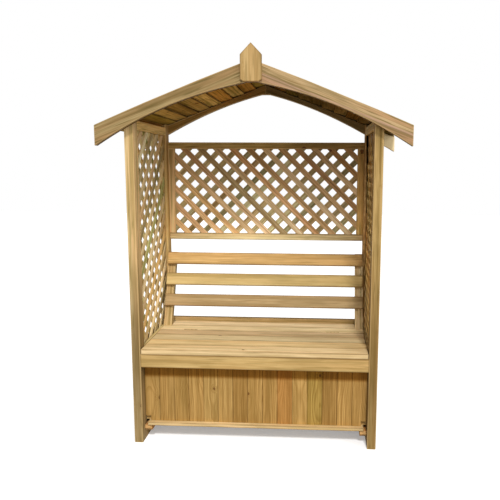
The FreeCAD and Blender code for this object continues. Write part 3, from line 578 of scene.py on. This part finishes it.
# Tones of the pieces that come in pairs; those of the roof slats are for their undersides
# Besides the boards' own tone they hold painted light and shade: the left-hand pieces are painted lighter
# and the right-hand ones darker, as for light from the right, and the rear arch boards are painted dark as
# shade under the roof.
SIDE_TONES = {
    "left": {
        "front_stile": (1.28, 1.42, 1.95),
        "rear_stile": (1.7, 1.78, 1.95),
        "back_stile": (2.1, 2.3, 3.2),
        "top_rail": (1.6, 1.75, 1.8),
        "mid_rail": (1.15, 1.35, 1.6),
        "inner_laths": (1.52, 1.96, 2.42),
        "outer_laths": (1.05, 1.3, 1.2),
        "backrest_bracket": (0.98, 1.08, 1.35),
        "fascia": (0.65, 0.71, 0.84),
        "rear_arch_board": (0.68, 0.56, 0.38),
        "roof_slats": (1.53, 1.73, 2.09),
    },
    "right": {
        "front_stile": (0.85, 0.8, 0.78),
        "rear_stile": (1.35, 1.35, 1.5),
        "back_stile": (2.0, 2.1, 2.1),
        "top_rail": (1.0, 1.1, 1.1),
        "mid_rail": (0.85, 0.9, 1.0),
        "inner_laths": (0.93, 0.84, 0.36),
        "outer_laths": (0.8, 0.8, 0.5),
        "backrest_bracket": (1.2, 1.4, 2.1),
        "fascia": (0.87, 0.9, 1.17),
        "rear_arch_board": (0.5, 0.5, 0.5),
        "roof_slats": (0.52, 0.55, 0.66),
    },
}
# How much darker each side's stiles grow towards the foot
STILE_FOOT_DARKENING = {"left": 0.75, "right": 0.55}
FASCIA_SPLIT = {"left": -60 * MM, "right": 10 * MM}

# Tones of single boards, which hold painted light and shade besides their own tone: the lid, the fixed seat
# boards and the back panel's bottom rail and laths are painted lighter, and the back panel's top rail
# darker as shade under the roof.
TONES = {
    "roof_top": (1.2, 1.34, 1.9),
    "floor_bearer": (1.05, 0.78, 0.66),
    "back_top_rail": (0.63, 0.59, 0.5),
    "back_bottom_rail": (1.42, 1.62, 1.85),
    "back_front_laths": (2.02, 2.2, 2.6),
    "back_rear_laths": (1.35, 1.75, 1.95),
    "backrest_lower_slat": (0.68, 0.67, 0.7),
    "backrest_middle_slat": (0.88, 0.9, 0.8),
    "backrest_upper_slat": (0.86, 0.8, 0.7),
    "lid_board_1": (1.34, 1.38, 1.53),
    "lid_board_2": (1.23, 1.28, 1.34),
    "lid_board_3": (1.09, 1.29, 1.6),
    "lid_board_4": (0.94, 0.98, 1.14),
    "seat_fixed_front_board": (1.36, 1.52, 1.8),
    "seat_fixed_rear_board": (1.5, 1.7, 2.2),
    "seat_apron": (0.84, 0.79, 0.66),
    "box_back_top_rail": (0.98, 1.08, 1.4),
    "box_front_boards": (1.0, 1.02, 1.08),
    "floor_front_board": (1.1, 1.22, 1.4),
    "finial": (0.82, 0.77, 0.68),
}

# Directions of slanting grain, and the face of the leaning backrest
SIDE_RISING = (0, 1, 1)
SIDE_FALLING = (0, 1, -1)
BACK_RISING = (1, 0, 1)
BACK_FALLING = (1, 0, -1)
LEANING = (0, 0.34, 0.94)
BACKREST_FACE = (0, 0.94, -0.34)
LATH_EASE = 0.8


def toned(tones, over):
    """The tones, each one multiplied by another."""
    return [tuple(first * second for first, second in zip(tone, over)) for tone in tones]


for side, sign in (("left", -1), ("right", 1)):
    outward = (sign, 0, 0)
    downhill = (sign, 0, -ROOF_FALL)
    uphill = (ROOF_FALL * sign, 0, 1)
    tones = SIDE_TONES[side]
    fascia = [tones["fascia"]]
    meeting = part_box(side + "_inner_laths")[1 if sign > 0 else 0][0]
    thinner = functools.partial(thinner_lath, meeting=meeting)

    # The rear stiles take painted roof shade over their tops.
    for node, painted_roof_shade in (("front_stile", 0.0), ("rear_stile", 0.9)):
        dress(side + "_" + node, ALONG_Z, ALONG_Y, [tones[node]], foot_darkening=STILE_FOOT_DARKENING[side], painted_roof_shade=painted_roof_shade)
    for node in ("top_rail", "mid_rail"):
        dress(side + "_" + node, ALONG_Y, outward, [tones[node]])
    dress(side + "_bottom_rail", ALONG_Y, outward, foot_darkening=0.6)
    dress(side + "_inner_laths", SIDE_RISING, outward, toned(LATH_TONES, tones["inner_laths"]),
          ease=LATH_EASE, shape=thinner, painted_roof_shade=0.2)
    dress(side + "_outer_laths", SIDE_FALLING, outward, toned(LATH_TONES[::-1], tones["outer_laths"]),
          ease=LATH_EASE, shape=thinner)
    dress(side + "_side_boards", ALONG_Z, outward, BOX_TONES, foot_darkening=0.3)

    # The back panel's stiles take painted roof shade over their tops.
    dress(side + "_back_stile", ALONG_Z, ALONG_Y, [tones["back_stile"]], painted_roof_shade=0.9, shape=short_stile)
    dress(side + "_backrest_bracket", LEANING, outward, [tones["backrest_bracket"]], shape=cut_bracket)
    dress(side + "_seat_bearer", ALONG_Y, outward)
    dress(side + "_floor_bearer", ALONG_Y, outward, [TONES["floor_bearer"]])

    dress(side + "_front_arch_board", downhill, ALONG_Y, shape=front_arch)
    dress(side + "_rear_arch_board", downhill, ALONG_Y, [tones["rear_arch_board"]], wood="rear_arch",
          shape=rear_arch)
    dress(side + "_front_fascia", downhill, ALONG_Y, fascia, shape=front_arch, split=FASCIA_SPLIT[side])
    dress(side + "_rear_fascia", downhill, ALONG_Y, fascia, shape=rear_arch)
    dress(side + "_roof_slats", ALONG_Y, uphill, toned(SLAT_TONES, TONES["roof_top"]),
          under=toned(SLAT_TONES, tones["roof_slats"]))

dress("back_top_rail", ALONG_X, ALONG_Y, [TONES["back_top_rail"]], shape=through_rail)
dress("back_bottom_rail", ALONG_X, ALONG_Y, [TONES["back_bottom_rail"]], wood="seat_timber",
      shape=through_rail)
# The back panel's laths take painted roof shade over their tops.
dress("back_front_laths", BACK_FALLING, ALONG_Y, toned(BACK_TONES, TONES["back_front_laths"]),
      ease=LATH_EASE, painted_roof_shade=1.0, spread=0.18)
dress("back_rear_laths", BACK_RISING, ALONG_Y, toned(BACK_TONES, TONES["back_rear_laths"]),
      ease=LATH_EASE, painted_roof_shade=0.8, spread=0.2)
for node in ("backrest_lower_slat", "backrest_middle_slat", "backrest_upper_slat"):
    dress(node, ALONG_X, BACKREST_FACE, [TONES[node]])

# The lid's and the fixed front board's front faces are painted darker, as shade against their lit tops.
for node in ("lid_board_1", "lid_board_2", "lid_board_3", "lid_board_4"):
    dress(node, ALONG_X, ALONG_Z, [TONES[node]], body="lid", front=0.88)
dress("lid_battens", ALONG_Y, ALONG_Z, body="lid")
dress("seat_fixed_front_board", ALONG_X, ALONG_Z, [TONES["seat_fixed_front_board"]], front=0.4)
dress("seat_fixed_rear_board", ALONG_X, ALONG_Z, [TONES["seat_fixed_rear_board"]])
dress("seat_apron", ALONG_X, ALONG_Y, [TONES["seat_apron"]])

dress("box_back_top_rail", ALONG_X, ALONG_Y, [TONES["box_back_top_rail"]])
dress("seat_cross_rail", ALONG_X, ALONG_Y)
dress("box_battens", ALONG_X, ALONG_Y)
dress("box_front_boards", ALONG_Z, ALONG_Y, toned(BOX_TONES, TONES["box_front_boards"]), wood="box_front",
      ease=0.6, rim=1.2, spread=0.05)
dress("box_back_boards", ALONG_Z, ALONG_Y, BOX_TONES[::-1])
dress("floor_front_board", ALONG_X, ALONG_Z, [TONES["floor_front_board"]], wood="seat_timber")
dress("floor_boards", ALONG_X, ALONG_Z, BOX_TONES)
dress("finial", ALONG_Z, ALONG_Y, [TONES["finial"]], wood="seat_timber")

hinge_steel = steel("hinge_steel_zinc")
for node in ("hinge_frame_leaves", "hinge_lid_leaves", "hinge_pins"):
    for material_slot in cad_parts[node].material_slots:
        material_slot.material = hinge_steel


# Floor, sky and suns

FLOOR_HALF = 14.0
FLOOR_GLOW = 0.3
FLOOR_GREY = (0.42, 0.41, 0.38, 1.0)
SKY_STRENGTH = 0.27
SUN_DISTANCE = 6.0

# Azimuth to the right of the front, elevation above the floor and spread in degrees, then power
SUNS = {
    "key": (6, 48, 9, 2.15),
    "fill": (0, 12, 40, 0.35),
    "low": (30, 3, 16, 0.6),
    "side": (60, 32, 26, 0.9),
}


def floor():
    """A plain floor that runs far behind the object, white to the camera and grey to its light."""
    mesh = bmesh.new()
    bmesh.ops.create_grid(mesh, x_segments=8, y_segments=8, size=FLOOR_HALF)
    made = bpy.data.meshes.new("floor")
    mesh.to_mesh(made)
    mesh.free()
    tree = Tree(bpy.data.materials.new("floor_white"))
    white = tree.add("ShaderNodeBsdfDiffuse", {"Color": WHITE})
    glow = tree.add("ShaderNodeEmission", {"Color": WHITE, "Strength": FLOOR_GLOW})
    seen = tree.add("ShaderNodeAddShader", {0: white.outputs[0], 1: glow.outputs[0]})
    lit = tree.add("ShaderNodeBsdfDiffuse", {"Color": FLOOR_GREY})
    mixed = tree.add("ShaderNodeMixShader", {0: tree.seen_rays(), 1: lit.outputs[0], 2: seen.outputs[0]})
    tree.add("ShaderNodeOutputMaterial", {"Surface": mixed.outputs[0]})
    made.materials.append(tree.owner)
    piece = bpy.data.objects.new("floor", made)
    bpy.context.scene.collection.objects.link(piece)


def sky():
    """White to the camera and in reflections, and a softer white light to all else."""
    tree = Tree(bpy.data.worlds.new("sky"))
    seen = tree.add("ShaderNodeBackground", {"Color": WHITE})
    lit = tree.add("ShaderNodeBackground", {"Color": WHITE, "Strength": SKY_STRENGTH})
    mixed = tree.add("ShaderNodeMixShader", {0: tree.seen_rays(), 1: lit.outputs[0], 2: seen.outputs[0]})
    tree.add("ShaderNodeOutputWorld", {"Surface": mixed.outputs[0]})
    bpy.context.scene.world = tree.owner


def sun(name, azimuth, elevation, spread, power):
    """Soft light from far off."""
    data = bpy.data.lights.new(name, "SUN")
    data.energy = power
    data.angle = math.radians(spread)
    turn = math.radians(azimuth)
    rise = math.radians(elevation)
    source = Vector((math.sin(turn) * math.cos(rise), -math.cos(turn) * math.cos(rise), math.sin(rise)))
    light = bpy.data.objects.new(name, data)
    light.location = source * SUN_DISTANCE
    light.rotation_euler = (-source).to_track_quat("-Z", "Y").to_euler()
    bpy.context.scene.collection.objects.link(light)


floor()
sky()
for name, light in SUNS.items():
    sun(name, *light)


# Camera at the photograph's place

CAMERA_PLACE = Vector((0.3272, -3.0793, 1.4170))
CAMERA_YAW = math.radians(3.16)
CAMERA_PITCH = math.radians(8.2)
CAMERA_ROLL = math.radians(-0.25)
SENSOR_WIDTH = 36.0
FOCAL_PIXELS = 574.65
IMAGE_PIXELS = 500
CENTRE_PIXELS = (288.8, 249.6)
CLIP_END = 60.0


def camera():
    """The camera, with its focal length and centre in pixels of the square image."""
    data = bpy.data.cameras.new("camera")
    data.sensor_width = SENSOR_WIDTH
    data.lens = FOCAL_PIXELS / IMAGE_PIXELS * SENSOR_WIDTH
    data.shift_x = (IMAGE_PIXELS / 2 - CENTRE_PIXELS[0]) / IMAGE_PIXELS
    data.shift_y = (CENTRE_PIXELS[1] - IMAGE_PIXELS / 2) / IMAGE_PIXELS
    data.clip_end = CLIP_END
    view = bpy.data.objects.new("camera", data)
    forward = Vector((-math.sin(CAMERA_YAW) * math.cos(CAMERA_PITCH),
                      math.cos(CAMERA_YAW) * math.cos(CAMERA_PITCH),
                      -math.sin(CAMERA_PITCH)))
    turn = forward.to_track_quat("-Z", "Y").to_matrix().to_4x4()
    roll = Matrix.Rotation(-CAMERA_ROLL, 4, "Z")
    view.matrix_world = Matrix.Translation(CAMERA_PLACE) @ turn @ roll
    bpy.context.scene.collection.objects.link(view)
    bpy.context.scene.camera = view


camera()
bpy.context.scene.view_settings.view_transform = "Standard"
